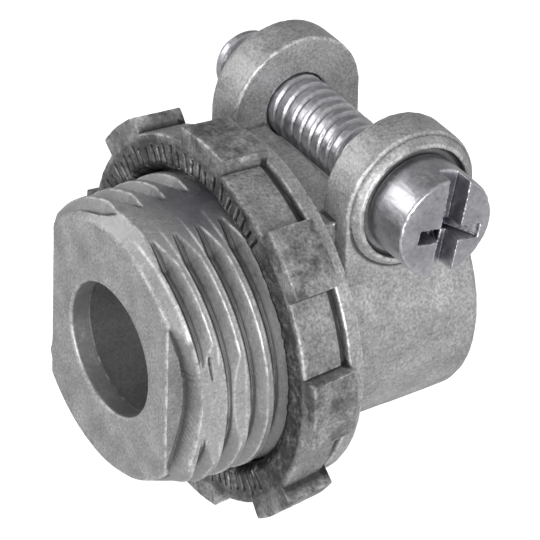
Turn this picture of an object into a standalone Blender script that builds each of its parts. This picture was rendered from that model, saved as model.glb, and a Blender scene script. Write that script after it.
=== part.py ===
"""Squeeze-type box connector for flexible metal conduit: one-piece cast body, locknut and clamp screw.

Metres, +Z up.  +X runs along the fitting's axis from the threaded nose to the conduit mouth, and the
origin is on that axis at the flange's front face, which seats on the outside of the box wall.  The
clamp screw lies along Y above the barrel with its head at -Y.
"""

import math

import bmesh
import bpy
from mathutils import Matrix, Vector

MM = 0.001

# threaded nose
NOSE_LENGTH = 11.2 * MM
THREAD_RADIUS = 10.35 * MM
THREAD_DEPTH = 0.95 * MM
THREAD_PITCH = 1.814 * MM
THREAD_SIDES = 40
THREAD_FORM = ((0.16, 1), (0.42, 0), (0.58, 0), (0.84, 1))  # share of pitch, share of depth below crest
NOSE_CHAMFER = 1.1 * MM
NOSE_WALL = 1.8 * MM                # thread root to the nose's bore
FLAT_DEPTH = 3.25 * MM              # thread crest down to each wrench flat
FLAT_LENGTH = 1.2 * MM
RELIEF_DEPTH = 1.65 * MM            # thread crest down to the tapered relief, just behind the flat
RELIEF_LENGTH = 5.2 * MM
LAND_WIDTH = 3.0 * MM               # unthreaded strips along the nose's top and bottom
LAND_STEP = 0.05 * MM               # thread crest down to the strips
THROAT_RADIUS = 4.8 * MM
LIP_THICKNESS = 1.6 * MM

# flange and barrel
FLANGE_WIDTH = 2.15 * MM            # how far it stands out past the thread's crest
FLANGE_THICKNESS = 1.2 * MM
BORE_RADIUS = 8.0 * MM              # for the conduit
BARREL_WALL = 1.75 * MM
BARREL_LENGTH = 11.45 * MM
BODY_SIDES = 64
MOUTH_ROUND = 0.7 * MM
SLOT_START = 4.8 * MM               # flange front face to the start of the clamp slot

# clamp screw
SCREW_FROM_MOUTH = 5.25 * MM
SCREW_RADIUS = 2.35 * MM
SCREW_DEPTH = 0.42 * MM
SCREW_PITCH = 1.058 * MM
SHANK_STEP = 0.25 * MM              # thread crest down to the plain part under the head
SCREW_SIDES = 16
HEAD_SIDES = 32
HEAD_RADIUS = 3.7 * MM
HEAD_HEIGHT = 3.85 * MM
HEAD_ROUND = 0.35 * MM
SLOT_WIDTH = 1.6 * MM
SLOT_DEPTH = 1.3 * MM
CROSS_WIDTH = 1.1 * MM
CROSS_LENGTH = 4.4 * MM
CROSS_DEPTH = 1.9 * MM
TIP_PAST_BOSS = 4.0 * MM
TIP_CHAMFER = 0.8 * MM

# ears
EAR_GAP = 10.8 * MM
EAR_THICKNESS = 2.95 * MM
EAR_SIDES = 48
EAR_FOOT = 1.5 * MM                 # axis to the ears' ends, which are buried in the barrel's wall
BRIDGE_FOOT = 2.0 * MM
SLOT_FLOOR = 2.5 * MM               # inside the bore
BOSS_HEIGHT = 0.6 * MM              # round boss that stands on each ear's outer face
BOSS_RIM = 0.35 * MM                # its wall round the head's recess, at the outer end
BOSS_TAPER = 0.4 * MM               # how much wider it is where it stands on the ear
EAR_LEDGE = 0.25 * MM               # ear's edge past the boss
HEAD_RECESS_DEPTH = 0.6 * MM

# locknut
NUT_THICKNESS = 3.7 * MM
NUT_WALL = 2.8 * MM                 # thread crest to the ring's outside
NUT_DRAFT = 0.35 * MM               # how much less the rear measures, for the casting die
NUT_TABS = 8
NUT_TAB_HEIGHT = 1.15 * MM
NUT_TAB_WIDTH = 5.3 * MM
NUT_TAB_ROUND = 0.5 * MM

# clearances
RUNNING_CLEARANCE = 0.09 * MM       # a thread or shank in its hole
SEAT_GAP = 0.3 * MM                 # faces that rest on each other
CONDUIT_CLEARANCE = 0.05 * MM       # the conduit's bore to the screw that passes over it
HEAD_RECESS_CLEARANCE = 0.5 * MM    # round the head in its recess

NOSE_TIP = -NOSE_LENGTH
NOSE_BORE_RADIUS = THREAD_RADIUS - THREAD_DEPTH - NOSE_WALL
FLANGE_RADIUS = THREAD_RADIUS + FLANGE_WIDTH
BARREL_RADIUS = BORE_RADIUS + BARREL_WALL
BARREL_END = FLANGE_THICKNESS + BARREL_LENGTH
SCREW_X = BARREL_END - SCREW_FROM_MOUTH
SCREW_Z = BORE_RADIUS + CONDUIT_CLEARANCE + SCREW_RADIUS
RECESS_RADIUS = HEAD_RADIUS + HEAD_RECESS_CLEARANCE
BOSS_RADIUS = RECESS_RADIUS + BOSS_RIM
BOSS_FOOT_RADIUS = BOSS_RADIUS + BOSS_TAPER
EAR_RADIUS = BOSS_FOOT_RADIUS + EAR_LEDGE
EAR_IN = EAR_GAP / 2
EAR_OUT = EAR_IN + EAR_THICKNESS
BOSS_OUT = EAR_OUT + BOSS_HEIGHT
NUT_RADIUS = THREAD_RADIUS + NUT_WALL
NUT_TAB_RADIUS = NUT_RADIUS + NUT_TAB_HEIGHT

PAST = 2 * MM                       # how far a cutter or a buried end runs past the face it meets
WELD = 0.0005 * MM                  # points nearer than this are one point after a Boolean
ROUND_STEPS = 3
RUN_ON = 1.5                        # turns of thread past each end of a rod, before it is trimmed
TRIM_SKEW = math.radians(2)         # keeps the facets of a trimming blank off those of the thread


# ---------------------------------------------------------------- tools

def clear_scene():
    for obj in list(bpy.data.objects):
        bpy.data.objects.remove(obj, do_unlink=True)


def fill_mesh(mesh, bm):
    """Writes triangles, which stay flat through every Boolean, with facing worked out afresh."""
    bmesh.ops.recalc_face_normals(bm, faces=bm.faces)
    bmesh.ops.triangulate(bm, faces=bm.faces)
    bm.to_mesh(mesh)
    bm.free()


def add_object(name, bm):
    mesh = bpy.data.meshes.new(name)
    fill_mesh(mesh, bm)
    obj = bpy.data.objects.new(name, mesh)
    bpy.context.scene.collection.objects.link(obj)
    return obj


def turned(name, profile, sides, skew=0.0):
    """A closed solid from (along, radius) points spun about local X, its facets turned by skew.

    Points on the axis close it.
    """
    bm = bmesh.new()
    rings = []
    for along, radius in profile:
        if radius < 1e-9:
            rings.append([bm.verts.new((along, 0, 0))])
            continue
        ring = []
        for side in range(sides):
            angle = 2 * math.pi * side / sides + skew
            ring.append(bm.verts.new((along, radius * math.cos(angle), radius * math.sin(angle))))
        rings.append(ring)
    closed = len(rings[0]) > 1
    pairs = list(zip(rings, rings[1:]))
    if closed:
        pairs.append((rings[-1], rings[0]))
    for low, high in pairs:
        for side in range(sides):
            after = (side + 1) % sides
            corners = [low[side % len(low)], low[after % len(low)],
                       high[after % len(high)], high[side % len(high)]]
            corners = list(dict.fromkeys(corners))
            if len(corners) > 2:
                bm.faces.new(corners)
    return add_object(name, bm)


def round_over(along, radius, size, facing):
    """Points of a quarter round on a turned end that faces +X (facing 1) or -X (facing -1)."""
    points = []
    for step in range(ROUND_STEPS + 1):
        angle = math.pi / 2 * step / ROUND_STEPS
        points.append((along - facing * size * (1 - math.sin(angle)),
                       radius - size * (1 - math.cos(angle))))
    return points[::facing]


def box(name, low, high):
    bm = bmesh.new()
    bmesh.ops.create_cube(bm, size=1.0)
    size = Vector(high) - Vector(low)
    centre = (Vector(high) + Vector(low)) / 2
    bmesh.ops.scale(bm, vec=size, verts=bm.verts)
    bmesh.ops.translate(bm, vec=centre, verts=bm.verts)
    return add_object(name, bm)


def prism(name, ends):
    """A closed solid between two outlines that have the same number of points."""
    bm = bmesh.new()
    loops = [[bm.verts.new(point) for point in end] for end in ends]
    for loop in loops:
        bm.faces.new(loop)
    count = len(loops[0])
    for here in range(count):
        after = (here + 1) % count
        bm.faces.new((loops[0][here], loops[0][after], loops[1][after], loops[1][here]))
    return add_object(name, bm)


def threaded_rod(name, start, end, radius, depth, pitch, sides):
    """A helical thread about local X that runs on past start and end, with closed ends."""
    turns = math.ceil((end - start) / pitch + 2 * RUN_ON)
    first = start - RUN_ON * pitch
    bm = bmesh.new()
    rows = []
    for turn in range(turns):
        for share, below in THREAD_FORM:
            row_radius = radius - below * depth
            row = []
            for side in range(sides):
                angle = 2 * math.pi * side / sides
                along = first + pitch * (turn + share + side / sides)
                row.append(bm.verts.new((along, row_radius * math.cos(angle),
                                         row_radius * math.sin(angle))))
            rows.append(row)
    step = len(THREAD_FORM)
    count = len(rows)
    for low in range(count - 1):
        for side in range(sides - 1):
            bm.faces.new((rows[low][side], rows[low][side + 1],
                          rows[low + 1][side + 1], rows[low + 1][side]))
        if low + 1 + step < count:
            bm.faces.new((rows[low][-1], rows[low + step][0],
                          rows[low + 1 + step][0], rows[low + 1][-1]))
    near = rows[0] + [rows[row][0] for row in range(step, 0, -1)]
    far = rows[-1] + [rows[count - 1 - row][-1] for row in range(1, step + 1)]
    for loop, along in ((near, first), (far, first + turns * pitch)):
        hub = bm.verts.new((along, 0, 0))
        for here, there in zip(loop, loop[1:] + loop[:1]):
            bm.faces.new((here, there, hub))
    return add_object(name, bm)


def combine(target, other, operation):
    """Adds, cuts or keeps with a Boolean, and leaves the tool object hidden."""
    modifier = target.modifiers.new(other.name, "BOOLEAN")
    modifier.operation = operation
    modifier.solver = "EXACT"
    modifier.object = other
    other.hide_render = True
    other.display_type = "WIRE"
    bpy.context.view_layer.update()
    graph = bpy.context.evaluated_depsgraph_get()
    made = bpy.data.meshes.new_from_object(target.evaluated_get(graph))
    target.modifiers.clear()
    target.data = made
    bm = bmesh.new()
    bm.from_mesh(made)
    bmesh.ops.remove_doubles(bm, verts=bm.verts, dist=WELD)
    fill_mesh(made, bm)
    bpy.data.objects.remove(other)


def turn_to_y(obj):
    """Lays a solid made along local X along +Y instead."""
    obj.data.transform(Matrix.Rotation(math.pi / 2, 4, "Z"))


def to_screw_axis(obj):
    turn_to_y(obj)
    obj.data.transform(Matrix.Translation((SCREW_X, 0, SCREW_Z)))


def smooth(obj, degrees=35):
    obj.data.shade_smooth()
    obj.data.set_sharp_from_angle(angle=math.radians(degrees))


def metal(name, colour, roughness):
    material = bpy.data.materials.new(name)
    material.use_nodes = True
    shader = material.node_tree.nodes["Principled BSDF"]
    shader.inputs["Base Color"].default_value = (*colour, 1)
    shader.inputs["Metallic"].default_value = 1.0
    shader.inputs["Roughness"].default_value = roughness
    return material


# ---------------------------------------------------------------- body

def nose():
    """The threaded nose, with its lead chamfer, lands, tapered reliefs and two wrench flats."""
    end = FLANGE_THICKNESS / 2
    solid = threaded_rod("nose", NOSE_TIP, end, THREAD_RADIUS, THREAD_DEPTH, THREAD_PITCH,
                         THREAD_SIDES)
    add_lands(solid, end)
    blank = turned("nose_blank", [
        (NOSE_TIP, 0), (NOSE_TIP, THREAD_RADIUS - NOSE_CHAMFER),
        (NOSE_TIP + NOSE_CHAMFER + PAST, THREAD_RADIUS + PAST), (end, THREAD_RADIUS + PAST),
        (end, 0)], BODY_SIDES, TRIM_SKEW)
    combine(solid, blank, "INTERSECT")
    cut_flats(solid)
    return solid


def add_lands(solid, end):
    """Plain strips along the top and bottom, where the casting die parts."""
    radius = THREAD_RADIUS - LAND_STEP
    land = turned("land", [
        (NOSE_TIP - PAST, 0), (NOSE_TIP - PAST, radius), (end + PAST, radius), (end + PAST, 0)],
        BODY_SIDES, TRIM_SKEW)
    strip = box("strip", (NOSE_TIP - NOSE_CHAMFER, -LAND_WIDTH / 2, -THREAD_RADIUS),
                (end + NOSE_CHAMFER, LAND_WIDTH / 2, THREAD_RADIUS))
    combine(land, strip, "INTERSECT")
    combine(solid, land, "UNION")


def cut_flats(solid):
    reach = THREAD_RADIUS + PAST
    for side in (-1, 1):
        inner, outer = sorted((side * (THREAD_RADIUS - FLAT_DEPTH), side * reach))
        flat = box("flat", (NOSE_TIP - PAST, inner, -reach),
                   (NOSE_TIP + FLAT_LENGTH, outer, reach))
        combine(solid, flat, "DIFFERENCE")
        combine(solid, relief(side, reach), "DIFFERENCE")


def relief(side, reach):
    """A wedge that tapers the thread off behind one flat; it starts over the flat and ends clear."""
    flat_end = NOSE_TIP + FLAT_LENGTH
    lead = FLAT_LENGTH / 2
    rise = RELIEF_DEPTH / RELIEF_LENGTH * lead
    outline = [(flat_end - lead, THREAD_RADIUS - RELIEF_DEPTH - rise),
               (flat_end + RELIEF_LENGTH + lead, THREAD_RADIUS + rise),
               (flat_end - lead, reach)]
    return prism("relief", [[(along, side * out, height) for along, out in outline]
                            for height in (-reach, reach)])


def flange_and_barrel():
    return turned("flange_and_barrel", [
        (0, 0), (0, FLANGE_RADIUS), (FLANGE_THICKNESS, FLANGE_RADIUS),
        (FLANGE_THICKNESS, BARREL_RADIUS),
        *round_over(BARREL_END, BARREL_RADIUS, MOUTH_ROUND, 1), (BARREL_END, 0)], BODY_SIDES)


def ear_outline():
    """Round top about the screw axis, straight legs down into the barrel; (x, z) points."""
    points = [(SCREW_X + EAR_RADIUS, EAR_FOOT)]
    half = EAR_SIDES // 2
    for step in range(half + 1):
        angle = math.pi * step / half
        points.append((SCREW_X + EAR_RADIUS * math.cos(angle),
                       SCREW_Z + EAR_RADIUS * math.sin(angle)))
    points.append((SCREW_X - EAR_RADIUS, EAR_FOOT))
    return points


def ear(side):
    """One clamp ear: a slab with a round top."""
    return prism("ear", [[(x, side * out, z) for x, z in ear_outline()]
                         for out in (EAR_IN, EAR_OUT)])


def boss(side):
    """The round boss on one ear's outer face, tapered for the die."""
    middle = EAR_IN + EAR_THICKNESS / 2
    solid = turned("boss", [
        (side * middle, 0), (side * middle, BOSS_RADIUS), (side * EAR_OUT, BOSS_FOOT_RADIUS),
        (side * BOSS_OUT, BOSS_RADIUS), (side * BOSS_OUT, 0)], EAR_SIDES)
    to_screw_axis(solid)
    return solid


def bridge():
    """The flat-topped block that joins the ears ahead of the clamp slot."""
    reach = EAR_IN + EAR_THICKNESS / 2
    return box("bridge", (FLANGE_THICKNESS / 2, -reach, BRIDGE_FOOT),
               (SLOT_START + PAST, reach, BARREL_RADIUS))


def bore_cuts(solid):
    """Slot that lets the ears close, throat, and the bore, which steps in ahead of the conduit."""
    throat = turned("throat", [
        (NOSE_TIP - PAST, 0), (NOSE_TIP - PAST, THROAT_RADIUS), (0, THROAT_RADIUS), (0, 0)],
        BODY_SIDES, TRIM_SKEW)
    bore = turned("bore", [
        (NOSE_TIP + LIP_THICKNESS, 0), (NOSE_TIP + LIP_THICKNESS, NOSE_BORE_RADIUS),
        (0, NOSE_BORE_RADIUS), (0, BORE_RADIUS), (BARREL_END + PAST, BORE_RADIUS),
        (BARREL_END + PAST, 0)], BODY_SIDES)
    slot = box("slot", (SLOT_START, -EAR_IN, SLOT_FLOOR),
               (BARREL_END + PAST, EAR_IN, SCREW_Z + EAR_RADIUS + PAST))
    for cutter in (slot, throat, bore):
        combine(solid, cutter, "DIFFERENCE")


def screw_holes(solid):
    """A hole through both ears that clears the screw's thread, and the head's recess at -Y."""
    radius = SCREW_RADIUS + RUNNING_CLEARANCE
    far = BOSS_OUT + PAST
    floor = BOSS_OUT - HEAD_RECESS_DEPTH
    hole = turned("hole", [(-far, 0), (-far, radius), (far, radius), (far, 0)], HEAD_SIDES)
    well = turned("well", [
        (-far, 0), (-far, RECESS_RADIUS), (-floor, RECESS_RADIUS), (-floor, 0)], HEAD_SIDES)
    for cutter in (hole, well):
        to_screw_axis(cutter)
        combine(solid, cutter, "DIFFERENCE")


def make_body():
    body = flange_and_barrel()
    body.name = "body"
    for side in (-1, 1):
        combine(body, ear(side), "UNION")
        combine(body, boss(side), "UNION")
    combine(body, bridge(), "UNION")
    combine(body, nose(), "UNION")
    bore_cuts(body)
    screw_holes(body)
    smooth(body)
    body.data.materials.clear()
    body.data.materials.append(metal("cast_zinc", (0.42, 0.42, 0.43), 0.45))
    return body


# ---------------------------------------------------------------- locknut

def make_locknut():
    """Ring with eight driving tabs; it turns about the fitting's axis on the nose's thread."""
    rear = -SEAT_GAP
    front = rear - NUT_THICKNESS
    bore = THREAD_RADIUS + RUNNING_CLEARANCE
    nut = turned("locknut", [(front, bore), (front, NUT_RADIUS), (rear, NUT_RADIUS - NUT_DRAFT),
                             (rear, bore)], BODY_SIDES)
    for tab in range(NUT_TABS):
        combine(nut, nut_tab(front, rear, 2 * math.pi * tab / NUT_TABS), "UNION")
    smooth(nut)
    nut.data.materials.clear()
    nut.data.materials.append(metal("locknut_zinc", (0.30, 0.30, 0.31), 0.5))
    return nut


def nut_tab(front, rear, angle):
    half = NUT_TAB_WIDTH / 2
    foot = (THREAD_RADIUS + NUT_RADIUS) / 2
    ends = []
    for along, top in ((front, NUT_TAB_RADIUS), (rear, NUT_TAB_RADIUS - NUT_DRAFT)):
        shoulder = top - NUT_TAB_ROUND
        outline = [(half, foot), (half, shoulder), (half - NUT_TAB_ROUND, top),
                   (NUT_TAB_ROUND - half, top), (-half, shoulder), (-half, foot)]
        ends.append([(along, across, out) for across, out in outline])
    tab = prism("tab", ends)
    tab.data.transform(Matrix.Rotation(angle, 4, "X"))
    return tab


# ---------------------------------------------------------------- clamp screw

def make_clamp_screw():
    """Fillister-head screw with a slot and cross drive; its origin is on its own axis."""
    seat = BOSS_OUT - HEAD_RECESS_DEPTH + SEAT_GAP
    tip = BOSS_OUT + TIP_PAST_BOSS
    screw = threaded_rod("clamp_screw", -EAR_IN, tip, SCREW_RADIUS, SCREW_DEPTH, SCREW_PITCH,
                         SCREW_SIDES)
    blank = turned("screw_blank", [
        (-seat, 0), (-seat, SCREW_RADIUS + PAST),
        (tip - TIP_CHAMFER - PAST, SCREW_RADIUS + PAST), (tip, SCREW_RADIUS - TIP_CHAMFER),
        (tip, 0)], HEAD_SIDES, TRIM_SKEW)
    combine(screw, blank, "INTERSECT")
    combine(screw, screw_head(seat), "UNION")
    for cutter in drive_cutters(seat + HEAD_HEIGHT):
        combine(screw, cutter, "DIFFERENCE")
    turn_to_y(screw)
    screw.location = (SCREW_X, 0, SCREW_Z)
    smooth(screw)
    screw.data.materials.clear()
    screw.data.materials.append(metal("plated_steel", (0.62, 0.62, 0.66), 0.28))
    return screw


def screw_head(seat):
    """The head and the plain shank that carries it as far as the ear's inner face."""
    top = seat + HEAD_HEIGHT
    shank = SCREW_RADIUS - SHANK_STEP
    return turned("head", [
        (-top, 0), *round_over(-top, HEAD_RADIUS, HEAD_ROUND, -1), (-seat, HEAD_RADIUS),
        (-seat, shank), (-EAR_IN, shank), (-EAR_IN, 0)], HEAD_SIDES, TRIM_SKEW)


def drive_cutters(top):
    """A slot right across the head and a shorter, deeper cross bar."""
    reach = HEAD_RADIUS + PAST
    slot = box("drive_slot", (-top - PAST, -SLOT_WIDTH / 2, -reach),
               (SLOT_DEPTH - top, SLOT_WIDTH / 2, reach))
    cross = box("drive_cross", (-top - PAST, -CROSS_LENGTH / 2, -CROSS_WIDTH / 2),
                (CROSS_DEPTH - top, CROSS_LENGTH / 2, CROSS_WIDTH / 2))
    return slot, cross


def main():
    clear_scene()
    make_body()
    make_locknut()
    make_clamp_screw()


main()
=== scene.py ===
import math

import bmesh
import bpy
import numpy as np
from mathutils import Matrix, Vector


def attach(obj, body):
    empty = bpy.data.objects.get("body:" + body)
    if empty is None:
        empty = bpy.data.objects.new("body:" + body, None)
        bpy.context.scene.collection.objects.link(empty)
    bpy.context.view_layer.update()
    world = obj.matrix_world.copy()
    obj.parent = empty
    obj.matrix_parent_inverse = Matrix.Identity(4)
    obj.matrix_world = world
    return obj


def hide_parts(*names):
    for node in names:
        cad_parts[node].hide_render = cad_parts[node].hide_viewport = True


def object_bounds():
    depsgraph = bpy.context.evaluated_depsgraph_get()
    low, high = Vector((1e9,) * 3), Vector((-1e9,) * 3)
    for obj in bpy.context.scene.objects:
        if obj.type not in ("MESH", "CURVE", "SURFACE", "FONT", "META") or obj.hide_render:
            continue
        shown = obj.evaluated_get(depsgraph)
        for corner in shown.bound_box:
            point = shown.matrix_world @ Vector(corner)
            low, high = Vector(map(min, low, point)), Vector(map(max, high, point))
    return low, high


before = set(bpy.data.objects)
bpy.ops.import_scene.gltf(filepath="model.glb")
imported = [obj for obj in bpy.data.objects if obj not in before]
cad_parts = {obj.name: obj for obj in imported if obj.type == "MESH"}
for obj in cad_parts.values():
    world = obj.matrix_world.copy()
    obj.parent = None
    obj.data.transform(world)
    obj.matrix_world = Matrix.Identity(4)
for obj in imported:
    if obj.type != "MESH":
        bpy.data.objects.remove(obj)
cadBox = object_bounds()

# Squeeze connector for flexible conduit. Lengths in the dictionaries are in millimetres.
# X runs from the nose tip to the conduit mouth, the clamp screw lies along Y with its head at -Y.
# Angles round the fitting's axis start at +Y and go up through +Z.

mm = 0.001
tau = 2 * math.pi


# shape helpers

def softMin(a, b, width):
    # the lower of two surfaces, with the corner between them rounded over this width
    share = np.clip(0.5 + 0.5 * (b - a) / width, 0, 1)
    return b + (a - b) * share - width * share * (1 - share) * 0.5


def softMax(a, b, width):
    return -softMin(-a, -b, width)


def ramp(value, start, end):
    share = np.clip((value - start) / (end - start), 0, 1)
    return share * share * (3 - 2 * share)


def meshObject(name, points, faces):
    mesh = bpy.data.meshes.new(name)
    mesh.from_pydata([tuple(p) for p in np.asarray(points) * mm], [], faces)
    piece = bpy.data.objects.new(name, mesh)
    bpy.context.scene.collection.objects.link(piece)
    bm = bmesh.new()
    bm.from_mesh(mesh)
    bmesh.ops.recalc_face_normals(bm, faces=bm.faces)
    bm.to_mesh(mesh)
    bm.free()
    return piece


def ringMesh(name, rows):
    # rows are rings of points, the last joins the first: a closed ring with a hole down its axis
    rowCount = len(rows)
    around = len(rows[0])
    points = np.concatenate(rows)
    faces = []
    for row in range(rowCount):
        after = (row + 1) % rowCount
        for step in range(around):
            ahead = (step + 1) % around
            faces.append((row * around + step, row * around + ahead,
                          after * around + ahead, after * around + step))
    return meshObject(name, points, faces)


def plugMesh(name, rows):
    # rows are rings of points, closed by a flat cap at each end
    rowCount = len(rows)
    around = len(rows[0])
    points = np.concatenate(rows)
    faces = [tuple(range(around)), tuple(range((rowCount - 1) * around, rowCount * around))]
    for row in range(rowCount - 1):
        for step in range(around):
            ahead = (step + 1) % around
            faces.append((row * around + step, row * around + ahead,
                          (row + 1) * around + ahead, (row + 1) * around + step))
    return meshObject(name, points, faces)


def ring(along, radius, around, axis="X", centre=(0, 0, 0)):
    angles = np.linspace(0, tau, around, endpoint=False)
    out = np.broadcast_to(radius, (around,))
    reach = np.broadcast_to(along, (around,))
    if axis == "X":
        points = np.stack([reach, out * np.cos(angles), out * np.sin(angles)], 1)
    else:
        points = np.stack([out * np.cos(angles), reach, out * np.sin(angles)], 1)
    return points + np.array(centre)


def roundedCorner(along, radius, size, towards, steps=5):
    # (along, radius) points over an outside corner, towards +1 or -1 along the axis
    points = []
    for step in range(steps + 1):
        angle = math.pi / 2 * step / steps
        points.append((along - towards * size * (1 - math.sin(angle)),
                       radius - size * (1 - math.cos(angle))))
    return points if towards > 0 else points[::-1]


def block(name, low, high, edge=0.0):
    piece = meshObject(name, [
        (x, y, z) for x in (low[0], high[0]) for y in (low[1], high[1]) for z in (low[2], high[2])],
        [(0, 1, 3, 2), (4, 6, 7, 5), (0, 4, 5, 1), (2, 3, 7, 6), (0, 2, 6, 4), (1, 5, 7, 3)])
    if edge:
        soften = piece.modifiers.new("edge", "BEVEL")
        soften.width = edge * mm
        soften.segments = 3
        applyAll(piece)
    return piece


def applyAll(piece):
    bpy.context.view_layer.update()
    graph = bpy.context.evaluated_depsgraph_get()
    made = bpy.data.meshes.new_from_object(piece.evaluated_get(graph))
    piece.modifiers.clear()
    piece.data = made


def cutAway(piece, *cutters):
    for cutter in cutters:
        cut = piece.modifiers.new("cut", "BOOLEAN")
        cut.operation = "DIFFERENCE"
        cut.solver = "EXACT"
        cut.object = cutter
        applyAll(piece)
        bpy.data.objects.remove(cutter)


def joined(name, pieces):
    bm = bmesh.new()
    for piece in pieces:
        bm.from_mesh(piece.data)
        bpy.data.objects.remove(piece)
    mesh = bpy.data.meshes.new(name)
    bm.to_mesh(mesh)
    bm.free()
    piece = bpy.data.objects.new(name, mesh)
    bpy.context.scene.collection.objects.link(piece)
    return piece


def fused(piece, voxel, passes):
    # one skin over everything that was joined, with its corners worn a little round
    skin = piece.modifiers.new("skin", "REMESH")
    skin.mode = "VOXEL"
    skin.voxel_size = voxel * mm
    wear = piece.modifiers.new("wear", "SMOOTH")
    wear.factor = 0.5
    wear.iterations = passes
    applyAll(piece)


def thinned(piece, most):
    triangles = sum(len(face.vertices) - 2 for face in piece.data.polygons)
    if triangles > most:
        thin = piece.modifiers.new("thin", "DECIMATE")
        thin.ratio = most / triangles
        applyAll(piece)


def vertexArrays(piece):
    mesh = piece.data
    points = np.empty(len(mesh.vertices) * 3, np.float32)
    mesh.vertices.foreach_get("co", points)
    normals = np.empty(len(mesh.vertices) * 3, np.float32)
    mesh.vertices.foreach_get("normal", normals)
    return points.reshape(-1, 3).astype(float), normals.reshape(-1, 3).astype(float)


def shift(piece, points):
    piece.data.vertices.foreach_set("co", points.astype(np.float32).ravel())
    piece.data.update()


def waves(points, size, seed, octaves=2):
    # smooth random field in about -1..1, from turned plane waves of this length
    dice = np.random.default_rng(seed)
    total = np.zeros(len(points))
    for octave in range(octaves):
        for _ in range(9):
            direction = dice.normal(size=3)
            direction /= np.linalg.norm(direction)
            length = size * mm * (0.7 + 0.6 * dice.random()) / 2 ** octave
            total += np.sin(points @ direction * tau / length + dice.random() * tau) / 2 ** octave
    return total / (9 ** 0.5 * 1.6)


def markEdges(piece, spread):
    # "ridge" is 1 on worn outside edges and "hollow" is 1 in inside corners
    mesh = piece.data
    points, normals = vertexArrays(piece)
    edges = np.empty(len(mesh.edges) * 2, np.int32)
    mesh.edges.foreach_get("vertices", edges)
    a, b = edges.reshape(-1, 2).T
    step = points[b] - points[a]
    length = np.linalg.norm(step, axis=1) + 1e-9
    count = np.bincount(a, minlength=len(points)) + np.bincount(b, minlength=len(points)) + 1e-9
    bend = np.bincount(a, (step * normals[a]).sum(1) / length ** 2 * mm, len(points))
    bend -= np.bincount(b, (step * normals[b]).sum(1) / length ** 2 * mm, len(points))
    bend /= count
    for _ in range(spread):
        near = np.bincount(a, bend[b], len(points)) + np.bincount(b, bend[a], len(points))
        bend = 0.5 * bend + 0.5 * near / count
    addField(piece, "ridge", np.clip(-bend, 0, 1))
    addField(piece, "hollow", np.clip(bend, 0, 1))


def degreesFrom(degrees, middle):
    # how far each angle is from the middle one, the short way round
    return np.abs((degrees - middle + 180) % 360 - 180)


def aboutAxis(points):
    # millimetres along the fitting's axis and out from it, and the angle round it in degrees
    along = points[:, 0] / mm
    reach = np.hypot(points[:, 1], points[:, 2]) / mm
    degrees = np.degrees(np.arctan2(points[:, 2], points[:, 1])) % 360
    return along, reach, degrees


def addField(piece, name, value):
    layer = piece.data.attributes.new(name, "FLOAT", "POINT")
    layer.data.foreach_set("value", np.asarray(value, np.float32))


def smoothShaded(piece, degrees=None):
    piece.data.shade_smooth()
    if degrees:
        piece.data.set_sharp_from_angle(angle=math.radians(degrees))


# material helper: a small wrapper that places nodes and joins them

class Nodes:
    def __init__(self, material):
        self.tree = material.node_tree
        self.shader = self.tree.nodes["Principled BSDF"]

    def add(self, kind, settings=None, **inputs):
        node = self.tree.nodes.new(kind)
        for name, value in (settings or {}).items():
            setattr(node, name, value)
        for name, value in inputs.items():
            self.feed(node.inputs[name.replace("_", " ")], value)
        return node

    def feed(self, socket, value):
        if isinstance(value, bpy.types.NodeSocket):
            self.tree.links.new(value, socket)
        else:
            socket.default_value = value

    def noise(self, scale, detail=2.0, rough=0.5, stretch=(1, 1, 1)):
        place = self.add("ShaderNodeTexCoord")
        sized = self.add("ShaderNodeMapping", Vector=place.outputs["Object"], Scale=stretch)
        made = self.add("ShaderNodeTexNoise", Vector=sized.outputs[0], Scale=scale,
                        Detail=detail, Roughness=rough)
        return made.outputs["Fac"]

    def span(self, value, low, high, start=0.0, end=1.0):
        made = self.add("ShaderNodeMapRange", Value=value, From_Min=low, From_Max=high,
                        To_Min=start, To_Max=end)
        return made.outputs[0]

    def sum(self, a, b, kind="ADD"):
        made = self.tree.nodes.new("ShaderNodeMath")
        made.operation = kind
        self.feed(made.inputs[0], a)
        self.feed(made.inputs[1], b)
        return made.outputs[0]

    def blend(self, share, a, b, kind="MIX"):
        made = self.tree.nodes.new("ShaderNodeMix")
        made.data_type = "RGBA"
        made.blend_type = kind
        self.feed(made.inputs["Factor"], share)
        self.feed(made.inputs[6], a)
        self.feed(made.inputs[7], b)
        return made.outputs[2]

    def field(self, name):
        return self.add("ShaderNodeAttribute", {"attribute_name": name}).outputs["Fac"]

    def bump(self, height, strength, depth, below=None):
        made = self.add("ShaderNodeBump", Height=height, Strength=strength, Distance=depth * mm)
        if below is not None:
            self.feed(made.inputs["Normal"], below)
        return made.outputs[0]


def newMetal(name, metal):
    material = bpy.data.materials.new(name)
    material.use_nodes = True
    nodes = Nodes(material)
    nodes.shader.inputs["Metallic"].default_value = metal
    return material, nodes


def gray(level, blue=0.0):
    return (level, level, level * (1 + blue), 1)


# bare cast zinc of the body

castFinish = {
    "light": 0.52, "dark": 0.34, "edge": 0.95, "paintedShade": 0.07, "polishAndReflection": 0.16, "pore": 0.16,
    "root": 0.1, "inside": 0.2, "land": 0.36,
    "metal": 0.6, "grain": 5200, "pores": 3400, "mottle": 460, "roughLow": 0.42, "roughHigh": 0.6,
}


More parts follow.
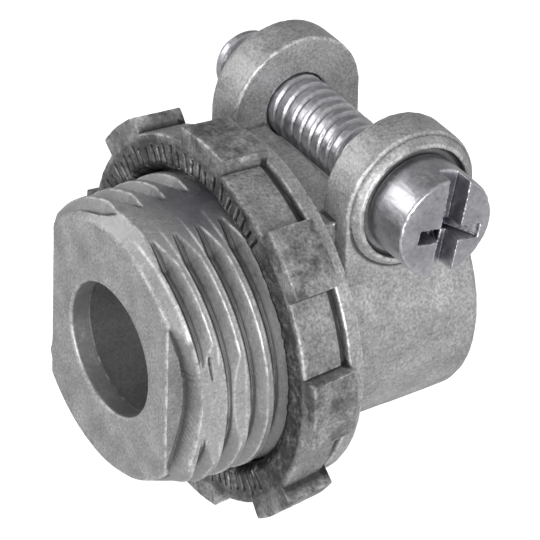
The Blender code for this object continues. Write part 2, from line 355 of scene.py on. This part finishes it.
def castZincMaterial():
    look = castFinish
    material, nodes = newMetal("cast_zinc", look["metal"])
    grain = nodes.noise(look["grain"], 2.0, 0.6)
    mottle = nodes.noise(look["mottle"], 5.0, 0.62)
    tone = nodes.blend(nodes.span(mottle, 0.32, 0.68), gray(look["dark"]), gray(look["light"], 0.01))
    tone = nodes.blend(1.0, tone, nodes.span(grain, 0.3, 0.7, 0.68, 1.28), "MULTIPLY")
    pores = nodes.span(nodes.noise(look["pores"], 3.0, 0.6), 0.61, 0.72, 0, 0.5)
    tone = nodes.blend(pores, tone, gray(look["pore"]))
    # painted shade: thread grooves darker and bluer, mostly just past the top
    root = nodes.sum(nodes.field("root"), nodes.span(mottle, 0.3, 0.6, 0.6, 0.95), "MULTIPLY")
    tone = nodes.blend(root, tone, gray(look["root"], 0.12))
    # painted shade inside the bore and in the well round the screw head
    inside = nodes.sum(nodes.field("inside"), nodes.span(mottle, 0.5, 0.75, 0.85, 0.6), "MULTIPLY")
    tone = nodes.blend(inside, tone, gray(look["inside"]))
    streaks = nodes.span(nodes.noise(900, 4.0, 0.6, (3, 1, 1)), 0.35, 0.65, 0.2, 0.9)
    tone = nodes.blend(nodes.sum(nodes.field("land"), streaks, "MULTIPLY"), tone, gray(look["land"]))
    # strip on top of the nose: smoother from polish, its darker blue-grey colour a painted reflection
    # of the locknut
    polishAndReflection = nodes.sum(nodes.field("polishAndReflection"), nodes.span(mottle, 0.3, 0.55, 0.55, 1), "MULTIPLY")
    tone = nodes.blend(polishAndReflection, tone, gray(look["polishAndReflection"], 0.14))
    # painted shade in concave corners
    hollow = nodes.span(nodes.field("hollow"), 0.06, 0.7, 0, 0.9)
    tone = nodes.blend(hollow, tone, gray(look["paintedShade"]))
    worn = nodes.span(nodes.noise(1300, 4.0, 0.65), 0.42, 0.58)
    ridge = nodes.sum(nodes.span(nodes.field("ridge"), 0.45, 1.3, 0, 0.8), worn, "MULTIPLY")
    # near-white lines on the crest and face edges: partly burrs, partly painted highlight on the upper
    # side
    burrAndHighlight = nodes.sum(nodes.field("crestEdge"), nodes.span(worn, 0, 1, 0.35, 1), "MULTIPLY")
    ridge = nodes.sum(ridge, burrAndHighlight, "MAXIMUM")
    tone = nodes.blend(ridge, tone, gray(look["edge"]))
    nodes.feed(nodes.shader.inputs["Base Color"], tone)
    rough = nodes.span(nodes.sum(grain, mottle), 0.7, 1.3, look["roughLow"], look["roughHigh"])
    shine = nodes.sum(nodes.sum(ridge, polishAndReflection), 0.16, "MULTIPLY")
    nodes.feed(nodes.shader.inputs["Roughness"], nodes.sum(rough, shine, "SUBTRACT"))
    skin = nodes.bump(nodes.noise(1500, 4.0, 0.6), 0.6, 0.08)
    nodes.feed(nodes.shader.inputs["Normal"], nodes.bump(grain, 0.5, 0.03, skin))
    return material


# duller cast zinc of the locknut

nutFinish = {
    "light": 0.42, "dark": 0.13, "edge": 0.8, "paintedShade": 0.02, "recess": 0.35, "pore": 0.05,
    "metal": 0.55, "grain": 4600, "pores": 2000, "mottle": 560, "roughLow": 0.45, "roughHigh": 0.64,
}


def locknutMaterial():
    look = nutFinish
    material, nodes = newMetal("locknut_zinc", look["metal"])
    grain = nodes.noise(look["grain"], 2.0, 0.6)
    mottle = nodes.noise(look["mottle"], 5.0, 0.65)
    tone = nodes.blend(nodes.span(mottle, 0.38, 0.64), gray(look["dark"]), gray(look["light"], 0.01))
    tone = nodes.blend(nodes.sum(nodes.field("floor"), 0.6, "MULTIPLY"), tone, gray(look["recess"]))
    tone = nodes.blend(1.0, tone, nodes.span(grain, 0.3, 0.7, 0.62, 1.32), "MULTIPLY")
    crusted = nodes.field("rough")
    crust = nodes.span(nodes.noise(2100, 4.0, 0.7), 0.3, 0.56, 0.25, 0.95)
    tone = nodes.blend(nodes.sum(crust, crusted, "MULTIPLY"), tone, gray(look["pore"]))
    pores = nodes.span(nodes.noise(look["pores"], 3.0, 0.6), 0.58, 0.72, 0, 0.45)
    tone = nodes.blend(pores, tone, gray(look["pore"]))
    # painted shade in concave corners
    hollow = nodes.span(nodes.field("hollow"), 0.1, 0.9, 0, 0.85)
    tone = nodes.blend(hollow, tone, gray(look["paintedShade"]))
    # painted shade in the rib grooves, at the bore's mouth and along the rear edge between the tabs
    tone = nodes.blend(nodes.span(nodes.field("groove"), 0.1, 0.6, 0, 0.9), tone, gray(look["paintedShade"]))
    ridge = nodes.sum(nodes.span(nodes.field("ridge"), 0.3, 1.4),
                      nodes.span(nodes.noise(700, 4.0, 0.65), 0.5, 0.66), "MULTIPLY")
    tone = nodes.blend(ridge, tone, gray(look["edge"]))
    nodes.feed(nodes.shader.inputs["Base Color"], tone)
    dull = nodes.span(nodes.sum(grain, mottle), 0.7, 1.3, look["roughLow"], look["roughHigh"])
    nodes.feed(nodes.shader.inputs["Roughness"],
               nodes.sum(dull, nodes.sum(ridge, 0.15, "MULTIPLY"), "SUBTRACT"))
    skin = nodes.bump(nodes.noise(1700, 4.0, 0.65), 0.6, 0.09)
    nodes.feed(nodes.shader.inputs["Normal"], nodes.bump(grain, 0.45, 0.03, skin))
    return material


# bright zinc plating of the clamp screw

screwFinish = {
    "bright": 0.58, "dull": 0.41, "paintedShade": 0.1, "edge": 0.85, "deep": 0.04, "metal": 0.92,
    "roughLow": 0.3, "roughHigh": 0.46,
}


def platedMaterial():
    look = screwFinish
    material, nodes = newMetal("plated_steel", look["metal"])
    cloud = nodes.noise(420, 4.0, 0.6)
    grain = nodes.noise(3800, 2.0, 0.6)
    tone = nodes.blend(nodes.span(cloud, 0.35, 0.65), gray(look["dull"], 0.07),
                       gray(look["bright"], 0.05))
    tone = nodes.blend(1.0, tone, nodes.span(grain, 0.3, 0.7, 0.86, 1.1), "MULTIPLY")
    # painted shade down in the slot and cross recess
    tone = nodes.blend(nodes.field("deep"), tone, gray(look["deep"], 0.5))
    # painted shade in concave corners
    hollow = nodes.span(nodes.field("hollow"), 0.3, 1.4, 0, 0.85)
    tone = nodes.blend(hollow, tone, gray(look["paintedShade"], 0.15))
    ridge = nodes.sum(nodes.span(nodes.field("ridge"), 0.5, 1.5),
                      nodes.span(nodes.noise(1200, 3.0, 0.6), 0.42, 0.6), "MULTIPLY")
    tone = nodes.blend(ridge, tone, gray(look["edge"], 0.03))
    nodes.feed(nodes.shader.inputs["Base Color"], tone)
    rough = nodes.span(nodes.sum(cloud, grain), 0.7, 1.3, look["roughLow"], look["roughHigh"])
    nodes.feed(nodes.shader.inputs["Roughness"], rough)
    dents = nodes.noise(520, 3.0, 0.55, (1, 0.35, 1))
    skin = nodes.bump(dents, 0.75, 0.2)
    nodes.feed(nodes.shader.inputs["Normal"], nodes.bump(grain, 0.35, 0.03, skin))
    return material


def finish(piece, material, slot, body, *nodes):
    piece.data.materials.clear()
    piece.data.materials.append(material)
    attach(piece, body)
    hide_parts(*nodes)


# threaded nose: the radius is worked out for each angle and each step along the axis

nose = {
    "tip": -11.16, "end": 0.0, "crest": 10.33, "depth": 0.95, "pitch": 1.814,
    "crestFlat": 0.42, "flankSlope": 1.7, "grooveAt": -9.78, "grooveSlip": -0.40,
    "landFrom": 89.0, "landTo": 104.5, "runOut": 14.0, "footFrom": 277.0, "footTo": 281.0,
    "chamfer": 1.1,
    "nearFrom": 98, "nearTo": 278,
    "flat": 7.1, "flatLength": 1.2, "flatReach": 36.0, "flatBulge": 1.15,
    "relief": 8.7, "reliefRise": 0.317, "slit": 0.4, "slitHalf": 0.12,
    "throat": 4.8, "lip": 1.6, "bore": 7.6, "around": 480, "step": 0.072,
}
# leftovers of the thread's roots in the reliefs: where each starts and ends along the axis, and
# its first and last angle
noseSlits = ((-10.35, -9.62, 146, 174), (-9.06, -8.72, 155, 170), (-10.3, -9.7, 330, 356))


def landShare(degrees):
    # 1 on the plain strips at the top and bottom, falling to 0 where the thread has its full depth
    n = nose
    fade = np.zeros_like(degrees)
    for start, end, runOut in ((n["landFrom"], n["landTo"], n["runOut"]),
                               (n["footFrom"], n["footTo"], n["runOut"] / 2)):
        half = (end - start) / 2
        past = degreesFrom(degrees, start + half) - half
        fade = np.maximum(fade, 1 - np.clip(past / runOut, 0, 1))
    return fade


def fromGroove(along, degrees):
    # signed distance along the axis from the middle of the nearest groove
    n = nose
    # the casting die parts at the top and bottom, and its two halves don't quite line up
    nearHalf = (degrees > n["nearFrom"]) & (degrees < n["nearTo"])
    slip = np.where(nearHalf, 0.0, n["grooveSlip"])
    place = (along - n["grooveAt"] - slip) / n["pitch"] - (degrees - n["landTo"]) / 360
    return ((place + 0.5) % 1 - 0.5) * n["pitch"]


def noseRadius(along, angles):
    n = nose
    degrees = np.degrees(angles) % 360
    half = (n["pitch"] - n["crestFlat"]) / 2
    flank = (half - np.abs(fromGroove(along, degrees))) * n["flankSlope"]
    groove = softMin(flank, np.full_like(angles, n["depth"]), 0.12)
    fade = landShare(degrees)
    slit = np.zeros_like(angles)
    for atStart, atEnd, start, end in noseSlits:
        centre = atStart + (atEnd - atStart) * (degrees - start) / (end - start)
        across = np.clip(1 - np.abs(along - centre) / n["slitHalf"], 0, 1)
        slit = np.maximum(slit, across * ramp(degrees, start, start + 5)
                          * (1 - ramp(degrees, end - 12, end)))
    groove = groove - fade * (n["depth"] + 0.08)
    groove = softMax(groove, np.zeros_like(angles), 0.06)
    radius = n["crest"] - groove
    past = along - n["tip"]
    relief = n["relief"] + n["reliefRise"] * (past - n["flatLength"])
    fromMiddle = np.abs((degrees + 90) % 180 - 90) / n["flatReach"]
    stepAt = n["flatLength"] + n["flatBulge"] * (0.35 - fromMiddle ** 2)
    stepUp = ramp(past - stepAt, -0.12, 0.12)
    side = n["flat"] * (1 - stepUp) + relief * stepUp
    radius = softMin(radius, side / (np.abs(np.cos(angles)) + 1e-6), 0.22)
    # the lead chamfer runs out longer underneath
    under = ramp(degrees, 212, 236) * (1 - ramp(degrees, 286, 302))
    cone = n["crest"] - n["chamfer"] + past * (0.95 - 0.62 * under)
    radius = softMin(radius, cone, 0.14)
    return radius - slit * n["slit"]


def buildNose():
    n = nose
    angles = np.linspace(0, tau, n["around"], endpoint=False)
    rows = []
    alongs = np.linspace(n["tip"] + 0.1, n["end"], round(-n["tip"] / n["step"]))
    tip = noseRadius(n["tip"], angles) - 0.1
    for share in np.linspace(0, 1, 12):
        radius = (n["throat"] + 0.12) * (1 - share) + tip * share
        rows.append(ring(n["tip"], radius, n["around"]))
    rows.append(ring(n["tip"] + 0.03, tip + 0.07, n["around"]))
    for along in alongs:
        rows.append(ring(along, noseRadius(along, angles), n["around"]))
    rows.append(ring(n["end"], n["bore"], n["around"]))
    rows.append(ring(n["tip"] + n["lip"], n["bore"], n["around"]))
    rows.append(ring(n["tip"] + n["lip"], n["throat"] + 0.06, n["around"]))
    for past in np.linspace(n["lip"] - 0.06, 0.12, 9):
        rows.append(ring(n["tip"] + past, n["throat"], n["around"]))
    return ringMesh("threadedNose", rows)


# flange, and the barrel that the conduit slides into

barrel = {
    "flange": 12.47, "flangeThick": 1.2, "flangeEdge": 0.16, "fillet": 0.45,
    "radius": 9.73, "end": 12.6, "mouth": 0.7, "bore": 8.0, "around": 360,
    "slotFrom": 4.8, "gap": 5.4,
}


def buildBarrel():
    b = barrel
    profile = [(0.02, 7.6), *roundedCorner(0.02, b["flange"], b["flangeEdge"], -1),
               *roundedCorner(b["flangeThick"], b["flange"], b["flangeEdge"], 1)]
    for step in range(7):
        angle = math.pi / 2 * step / 6
        profile.append((b["flangeThick"] + b["fillet"] * (1 - math.cos(angle)),
                        b["radius"] + b["fillet"] * (1 - math.sin(angle))))
    profile += roundedCorner(b["end"], b["radius"] - 0.03, b["mouth"], 1)
    profile += [(b["end"], b["bore"] + 0.25), (b["end"] - 0.25, b["bore"]), (0.0, b["bore"])]
    shell = ringMesh("barrelPart", [ring(x, r, b["around"]) for x, r in profile])
    slot = block("slot", (b["slotFrom"], -b["gap"], 2.5), (b["end"] + 3, b["gap"], 14))
    cutAway(shell, slot)
    return shell


# the two ears, each with a round boss on its outer face

ears = {
    "x": 7.4, "z": 10.4, "radius": 5.17, "inner": 5.42, "face": 8.3, "top": 8.93,
    "bossFoot": 4.9, "bossTop": 4.5, "recess": 4.18, "recessFloor": 8.37, "hole": 2.44,
    "foot": 1.5, "around": 96, "innerEdge": 0.12,
}


def earOutline(inset):
    e = ears
    radius = e["radius"] - inset
    points = [(e["x"] + radius, e["foot"])]
    for step in range(e["around"] // 2 + 1):
        angle = math.pi * step / (e["around"] // 2)
        points.append((e["x"] + radius * math.cos(angle), e["z"] + radius * math.sin(angle)))
    points.append((e["x"] - radius, e["foot"]))
    return points


def buildEar(side):
    e = ears
    rows = []
    for out, inset in ((e["inner"], e["innerEdge"]), (e["inner"] + e["innerEdge"], 0.0),
                       (e["face"] - 0.5, 0.0), (e["face"] - 0.12, 0.05), (e["face"], 0.22)):
        rows.append(np.array([(x, side * out, z) for x, z in earOutline(inset)]))
    arm = plugMesh("earPart", rows)
    centre = (e["x"], 0, e["z"])
    bossRows = []
    for out, radius in ((e["face"] - 0.6, e["bossFoot"] - 0.3), (e["face"] - 0.05, e["bossFoot"]),
                        (e["face"] + 0.22, e["bossFoot"] - 0.08), (e["top"] - 0.2, e["bossTop"] + 0.12),
                        (e["top"] - 0.05, e["bossTop"]), (e["top"], e["bossTop"] - 0.12)):
        bossRows.append(ring(side * out, radius, e["around"], "Y", centre))
    boss = plugMesh("bossPart", bossRows)
    for piece in (arm, boss):
        cutters = [plugMesh("bore", [ring(x, barrel["bore"], 180) for x in (-1, 20)]),
                   plugMesh("hole", [ring(y, e["hole"], 64, "Y", centre) for y in (-20, 20)])]
        if side < 0:
            cutters.append(plugMesh("well", [
                ring(y, e["recess"], 96, "Y", centre) for y in (-e["recessFloor"], -20)]))
        cutAway(piece, *cutters)
    return [arm, boss]


# flat-topped bridge that joins the ears ahead of the slot; its near part lies a little lower

bridge = {"from": 0.6, "high": 9.73, "low": 9.58, "stepAt": 0.6, "reach": 7.0, "foot": 2.0}


def buildBridge():
    b = bridge
    pieces = []
    for name, low, high, top in (("bridgeFar", b["stepAt"], b["reach"], b["high"]),
                                 ("bridgeNear", -b["reach"], b["stepAt"] + 0.4, b["low"])):
        piece = block(name, (b["from"], low, b["foot"]), (barrel["slotFrom"], high, top), 0.06)
        cutAway(piece, plugMesh("bore", [ring(x, barrel["bore"], 180) for x in (-1, 20)]))
        pieces.append(piece)
    return pieces


def onThread(points):
    # 1 on the threaded part of the nose
    along, reach, _ = aboutAxis(points)
    return (along > nose["tip"] + 0.2) * (along < -0.2) * (reach > 8.3) * (reach < 10.5)


def crestEdge(points):
    # the burr along one edge of each crest, on the upper side only, where it is also a painted
    # highlight
    along, reach, degrees = aboutAxis(points)
    half = (nose["pitch"] - nose["crestFlat"]) / 2
    line = np.exp(-((fromGroove(along, degrees) + half + 0.04) / 0.075) ** 2)
    upper = ramp(degrees, 98, 108) * (1 - 0.6 * ramp(degrees, 150, 190)) * (degrees < 280)
    return line * upper * ramp(reach, 9.6, 9.9) * onThread(points)


def faceEdge(points):
    # worn line along the edge between the front face and the chamfer, over the top only, where it is
    # also a painted highlight
    along, reach, degrees = aboutAxis(points)
    line = np.exp(-((reach - nose["crest"] + nose["chamfer"]) / 0.09) ** 2)
    return line * (along < nose["tip"] + 0.12) * ramp(degrees, 105, 115) * (degrees < 143)


def rootDepth(points):
    # painted shade in the grooves, most of it just past the top on the -Y side
    along, _, degrees = aboutAxis(points)
    half = (nose["pitch"] - nose["crestFlat"]) / 2
    upper = ramp(degrees, 100, 112) * (1 - ramp(degrees, 135, 158))
    lower = ramp(degrees, 205, 225) * (degrees < 275) * 0.3
    deep = ramp(half - np.abs(fromGroove(along, degrees)), 0.05, 0.35) * (1 - landShare(degrees))
    return deep * onThread(points) * np.maximum(upper, lower)


def polishAndReflection(points):
    # the locknut has polished the plain strip along the top of the nose; its colour there is a painted
    # reflection of the dark locknut
    along, _, degrees = aboutAxis(points)
    strip = ramp(degrees, 70, 88) * (1 - ramp(degrees, 104, 122))
    return strip * ramp(along, -9.5, -5.5) * (1 - ramp(along, -1, 0))


def finishCasting(body, material):
    markEdges(body, 2)
    points, normals = vertexArrays(body)
    along, reach, _ = aboutAxis(points)
    # the casting isn't quite true: slow waves, with a finer grain away from the thread
    smoothPart = ramp(along, -0.5, 1.5)
    lift = waves(points, 4.5, 3) * 0.012 + waves(points, 0.9, 5) * (0.005 + 0.008 * smoothPart)
    shift(body, points + normals * lift[:, None] * mm)
    addField(body, "polishAndReflection", polishAndReflection(points))
    # painted shade inside the bore and in the well round the screw head
    fromScrew = np.hypot(along - ears["x"], points[:, 2] / mm - ears["z"])
    well = 1 - ramp(fromScrew, ears["recess"] - 0.1, ears["recess"] + 0.1)
    well = well * (points[:, 1] < -8.1 * mm)
    inBore = (1 - ramp(reach, 8.1, 8.3)) * ramp(along, -11.12, -11.0)
    inBore = inBore * (1 - 0.45 * ramp(reach, 5.0, 5.6))
    addField(body, "inside", np.maximum(inBore, well * 0.8))
    addField(body, "crestEdge", np.maximum(crestEdge(points), faceEdge(points)))
    addField(body, "land", onThread(points))
    addField(body, "root", rootDepth(points))
    smoothShaded(body)
    finish(body, material, "cast_zinc", "body", "body")


def buildBody(material):
    shell = joined("clampBarrel", [buildBarrel(), *buildEar(-1), *buildEar(1), *buildBridge()])
    fused(shell, 0.1, 2)
    thinned(shell, 150000)
    for piece in (shell, buildNose()):
        finishCasting(piece, material)


# locknut: a ring of sections, one for each angle

nut = {
    "front": -4.0, "rear": -0.3, "bore": 10.44, "leadIn": 0.5, "ring": 13.12, "tab": 14.27,
    "draft": 0.33, "tabs": 8, "tabHalf": 10.4, "tabEdge": 0.55, "edge": 0.14,
    "tabSlip": (0, -1.4, 0, 0, 0, 1.3, 0, 0), "rearCut": 0.35,
    "rib": 4.4, "ribDepth": 0.26, "ribFrom": 10.95, "ribTo": 12.65, "ribHalf": 0.17,
}


def nutAngles():
    # evenly spaced, and closer together over the sides of each tab
    angles = set(np.round(np.arange(0, 360, 0.5), 4))
    for tab in range(nut["tabs"]):
        for side in (-1, 1):
            edge = tab * 360 / nut["tabs"] + nut["tabSlip"][tab] + side * nut["tabHalf"]
            for near in np.linspace(-0.9, 0.9, 10):
                angles.add(round((edge + near) % 360, 4))
    return np.radians(np.array(sorted(angles)))


def awayFromTab(degrees):
    # degrees to the middle of the nearest tab; two tabs sit a little off their even places
    away = np.full_like(degrees, 360.0)
    for tab in range(nut["tabs"]):
        away = np.minimum(away, degreesFrom(degrees, tab * 360 / nut["tabs"] + nut["tabSlip"][tab]))
    return away


def ribPattern(degrees, radius):
    # cut grooves across the front face, unevenly spaced and worn away in places
    n = nut
    dice = np.random.default_rng(11)
    depth = np.zeros_like(degrees)
    at = 1.5
    while at < 359:
        length = dice.uniform(0.75, 1.0)
        strength = dice.uniform(0.55, 1.0)
        worn = 126 < at < 226
        lean = dice.uniform(-0.7, 0.7)
        centre = at + lean * (radius - 11.8)
        away = degreesFrom(degrees, centre) * math.radians(1) * radius
        across = np.clip(1 - (away / n["ribHalf"]) ** 2, 0, 1)
        ends = ramp(radius, n["ribFrom"] - 0.1, n["ribFrom"] + 0.2)
        last = n["ribFrom"] + (n["ribTo"] - n["ribFrom"]) * length
        ends = ends * (1 - ramp(radius, last - 0.25, last))
        if not worn:
            depth = np.maximum(depth, across * ends * strength)
        at += n["rib"] * dice.uniform(0.75, 1.25)
    return depth * n["ribDepth"]


def buildLocknut(material):
    n = nut
    angles = nutAngles()
    degrees = np.degrees(angles)
    fromTab = awayFromTab(degrees)
    isTab = 1 - ramp(fromTab, n["tabHalf"] - n["tabEdge"] / 2, n["tabHalf"] + n["tabEdge"] / 2)
    outer = n["ring"] + (n["tab"] - n["ring"]) * isTab
    sections = []

    def row(along, radius):
        out = np.broadcast_to(radius, angles.shape)
        reach = np.broadcast_to(along, angles.shape)
        sections.append(np.stack([reach, out * np.cos(angles), out * np.sin(angles)], 1))

    inner = n["bore"] + n["leadIn"]
    faceTo = outer - n["edge"]
    for share in np.linspace(0, 1, 26):
        radius = inner + (np.minimum(faceTo, 12.9) - inner) * share
        row(n["front"] + ribPattern(degrees, radius), radius)
    for share in (0.5, 1.0):
        row(n["front"], np.minimum(faceTo, 12.9) * (1 - share) + faceTo * share)
    row(n["front"] + n["edge"] * 0.3, outer - n["edge"] * 0.3)
    for share in np.linspace(0, 1, 16):
        along = n["front"] + n["edge"] + (n["rear"] - n["front"] - 2 * n["edge"]) * share
        rearCut = n["rearCut"] * ramp(np.array(along), -0.85, -0.5) * (1 - isTab)
        row(along, outer - n["draft"] * share - rearCut)
    rear = outer - n["draft"] - n["rearCut"] * (1 - isTab)
    row(n["rear"] - n["edge"] * 0.3, rear - n["edge"] * 0.3)
    row(n["rear"], rear - n["edge"])
    row(n["rear"], (inner + outer) / 2)
    row(n["rear"], n["bore"] + 0.2)
    for share in np.linspace(0, 1, 5):
        row(n["rear"] - 0.2 + (n["front"] + n["leadIn"] - n["rear"] + 0.2) * share, n["bore"])
    locknut = ringMesh("castLocknut", sections)
    markEdges(locknut, 1)
    points, normals = vertexArrays(locknut)
    along, reach, spin = aboutAxis(points)
    lift = waves(points, 3.5, 21) * 0.02 + waves(points, 0.7, 22) * 0.014
    pitted = ramp(spin, 120, 134) * (1 - ramp(spin, 220, 232)) * (1 - ramp(reach, 12.5, 12.8))
    pitted *= ramp(-along, 3.7, 3.9)
    lift = lift - pitted * (0.5 + 0.5 * waves(points, 0.55, 23)) * 0.09
    lift = np.where(reach < n["bore"] + 0.02, 0, lift)
    shift(locknut, points + normals * lift[:, None] * mm)
    # painted shade: rib grooves, the mouth of the bore by the thread, and the rear edge between the
    # tabs
    behind = ramp(along, -0.95, -0.7) * (awayFromTab(spin) > n["tabHalf"])
    sunk = (along - n["front"]) / n["ribDepth"] * (along < n["front"] + 0.3)
    mouth = (1 - ramp(reach, 10.95, 11.3)) * 0.8
    nutShade = np.maximum(sunk * (1 - ramp(reach, 12.6, 12.7)), mouth)
    addField(locknut, "groove", np.maximum(nutShade, behind))
    isFloor = (awayFromTab(spin) > n["tabHalf"]) * (reach > 12.6)
    isFloor = isFloor * (along > n["front"] + 0.1) * 1.0
    onFace = (1 - ramp(reach, 12.6, 12.9)) * (along < -3.4)
    addField(locknut, "floor", isFloor)
    addField(locknut, "rough", np.maximum(onFace * 0.75, pitted))
    smoothShaded(locknut, 50)
    finish(locknut, material, "locknut_zinc", "locknut", "locknut")


# clamp screw, made about its own axis along Y

screw = {
    "crest": 2.34, "depth": 0.3, "pitch": 1.058, "tip": 12.9, "tipTaper": 0.75, "threadFrom": -5.6,
    "shank": 2.1, "seat": 8.67, "head": 3.68, "top": 12.48, "headEdge": 0.2,
    "slotHalf": 0.82, "slotDepth": 1.5, "crossHalf": 0.5, "crossLength": 2.4, "crossDepth": 2.2,
    "driveLean": 11.5, "driveOff": (0.3, 0, -0.6),
    "around": 128, "step": 0.06,
}


def screwRadius(along, angles):
    s = screw
    place = along / s["pitch"] + angles / tau
    fromRoot = np.abs((place + 0.5) % 1 - 0.5) * 2
    form = ramp(fromRoot, 0.0, 0.5)
    radius = s["crest"] - s["depth"] * (1 - form)
    run = ramp(np.array(along), s["threadFrom"] - 0.2, s["threadFrom"] + 0.8)
    radius = s["shank"] * (1 - run) + radius * run
    cone = s["crest"] - s["tipTaper"] * 1.1 + (s["tip"] - along) * 0.95
    return softMin(radius, np.full_like(angles, max(cone, 0.2)), 0.2)


def crossCutter(way):
    # one tapered wing pair of the cross recess
    s = screw
    rows = []
    for out, length, half in ((-s["top"] - 1, s["crossLength"] + 0.35, s["crossHalf"] + 0.1),
                              (-s["top"] + 0.3, s["crossLength"], s["crossHalf"]),
                              (-s["top"] + s["crossDepth"], 0.9, s["crossHalf"] * 0.7)):
        corners = [(length, half), (-length, half), (-length, -half), (length, -half)]
        if way == "z":
            corners = [(b, a) for a, b in corners]
        rows.append(np.array([(a, out, b) for a, b in corners]))
    return plugMesh("cross", rows)


def buildClampScrew(material):
    s = screw
    angles = np.linspace(0, tau, s["around"], endpoint=False)
    rows = []
    for along in np.arange(-s["seat"] - 0.3, s["tip"], s["step"]):
        rows.append(ring(along, screwRadius(along, angles), s["around"], "Y"))
    rows.append(ring(s["tip"], screwRadius(s["tip"], angles) - 0.15, s["around"], "Y"))
    shank = plugMesh("shankPart", rows)
    profile = [(-s["top"] + 0.02, 2.9), *roundedCorner(-s["top"] + 0.03, s["head"], s["headEdge"], -1),
               (-s["seat"] - 0.08, s["head"]), (-s["seat"], s["head"] - 0.08)]
    head = plugMesh("headPart", [ring(y, r, s["around"], "Y") for y, r in profile])
    slot = block("slot", (-s["slotHalf"], -s["top"] - 2, -5),
                 (s["slotHalf"], -s["top"] + s["slotDepth"], 5), 0.03)
    cutters = [slot, crossCutter("x"), crossCutter("z")]
    lean = Matrix.Rotation(math.radians(s["driveLean"]), 4, "Y")
    for cutter in cutters:
        cutter.data.transform(Matrix.Translation(Vector(s["driveOff"]) * mm) @ lean)
    cutAway(head, *cutters)
    piece = joined("clampScrew", [head, shank])
    fused(piece, 0.07, 2)
    points, normals = vertexArrays(piece)
    atRim = ramp(-points[:, 1] / mm, s["top"] - 0.6, s["top"] - 0.1)
    lift = waves(points, 2.0, 31) * 0.008 - np.clip(waves(points, 1.1, 33), 0, 1) * 0.05 * atRim
    # painted shade down in the slot and cross recess of the head
    depth = points[:, 1] / mm + s["top"]
    near = np.hypot(points[:, 0], points[:, 2]) / mm < s["head"] - 0.25
    deep = ramp(depth, 0.15, 0.8) * 0.5 + ramp(depth, 1.3, 1.9) * 0.5
    points = points + normals * lift[:, None] * mm
    points += np.array([ears["x"], 0, ears["z"]]) * mm
    shift(piece, points)
    addField(piece, "deep", deep * near * (depth < 3))
    thinned(piece, 130000)
    markEdges(piece, 2)
    smoothShaded(piece)
    finish(piece, material, "plated_steel", "clamp_screw", "clamp_screw")


# camera and light

camera = {
    "azimuth": -34.395, "elevation": 33.974, "roll": 1.529, "distance": 551.07,
    "target": (1.821, 0.0, 1.900), "lens": 541.04,
}


def addCamera():
    c = camera
    azimuth, elevation, roll = (math.radians(c[k]) for k in ("azimuth", "elevation", "roll"))
    back = Vector((math.sin(azimuth) * math.cos(elevation),
                   -math.cos(azimuth) * math.cos(elevation), math.sin(elevation)))
    right = Vector((math.cos(azimuth), math.sin(azimuth), 0))
    up = back.cross(right)
    tilted = right * math.cos(roll) + up * math.sin(roll)
    raised = -right * math.sin(roll) + up * math.cos(roll)
    data = bpy.data.cameras.new("camera")
    data.lens = c["lens"]
    data.sensor_width = 36
    data.clip_start = 0.05
    data.clip_end = 20
    viewer = bpy.data.objects.new("camera", data)
    bpy.context.scene.collection.objects.link(viewer)
    turn = Matrix((tilted, raised, back)).transposed().to_4x4()
    viewer.matrix_world = Matrix.Translation((Vector(c["target"]) + back * c["distance"]) * mm) @ turn
    bpy.context.scene.camera = viewer


def softLight(name, place, size, watts):
    # a soft rectangle of light, aimed at the fitting
    data = bpy.data.lights.new(name, "AREA")
    data.shape = "RECTANGLE"
    data.size = size[0] * mm
    data.size_y = size[1] * mm
    data.energy = watts
    lamp = bpy.data.objects.new(name, data)
    bpy.context.scene.collection.objects.link(lamp)
    lamp.location = Vector(place) * mm
    lamp.rotation_euler = (-Vector(place)).to_track_quat("-Z", "Y").to_euler()


studio = {
    "paper": 0.9, "glow": 0.7, "surround": 0.56,
    "key": (-190, 240, 160), "keySize": (150, 150), "keyWatts": 0.27,
    "fill": (-120, -260, 60), "fillSize": (200, 200), "fillWatts": 0.85,
    "card": (200, 290, 240), "cardSize": 420, "cardTone": 0.3,
}


def paintFlat(piece, name, tone, glow):
    paint = bpy.data.materials.new(name)
    paint.use_nodes = True
    shader = paint.node_tree.nodes["Principled BSDF"]
    shader.inputs["Base Color"].default_value = gray(tone)
    shader.inputs["Roughness"].default_value = 0.9
    shader.inputs["Specular IOR Level"].default_value = 0.1
    shader.inputs["Emission Color"].default_value = gray(1)
    shader.inputs["Emission Strength"].default_value = glow
    piece.data.materials.append(paint)


def addStudio(lowest):
    s = studio
    world = bpy.data.worlds.new("studio")
    world.use_nodes = True
    background = world.node_tree.nodes["Background"]
    background.inputs["Color"].default_value = gray(s["surround"])
    bpy.context.scene.world = world
    softLight("key", s["key"], s["keySize"], s["keyWatts"])
    softLight("fill", s["fill"], s["fillSize"], s["fillWatts"])
    floor = meshObject("floor", [(-4000, -4000, lowest), (4000, -4000, lowest),
                                 (4000, 4000, lowest), (-4000, 4000, lowest)], [(0, 1, 2, 3)])
    paintFlat(floor, "paper", s["paper"], s["glow"])
    floor.visible_glossy = False
    floor.visible_diffuse = False
    # a dark card behind, which the upward faces and the screw reflect
    half = s["cardSize"] / 2
    card = meshObject("card", [(-half, -half, 0), (half, -half, 0), (half, half, 0),
                               (-half, half, 0)], [(0, 1, 2, 3)])
    card.location = Vector(s["card"]) * mm
    card.rotation_euler = Vector(s["card"]).to_track_quat("Z", "Y").to_euler()
    paintFlat(card, "darkCard", s["cardTone"], 0)
    card.visible_camera = False


print("materials")
castZinc = castZincMaterial()
locknutZinc = locknutMaterial()
plated = platedMaterial()

print("body")
buildBody(castZinc)
print("locknut")
buildLocknut(locknutZinc)
print("clamp screw")
buildClampScrew(plated)

print("camera and studio")
addCamera()
addStudio(cadBox[0].z / mm - 0.05)

bpy.context.scene.view_settings.view_transform = "Standard"
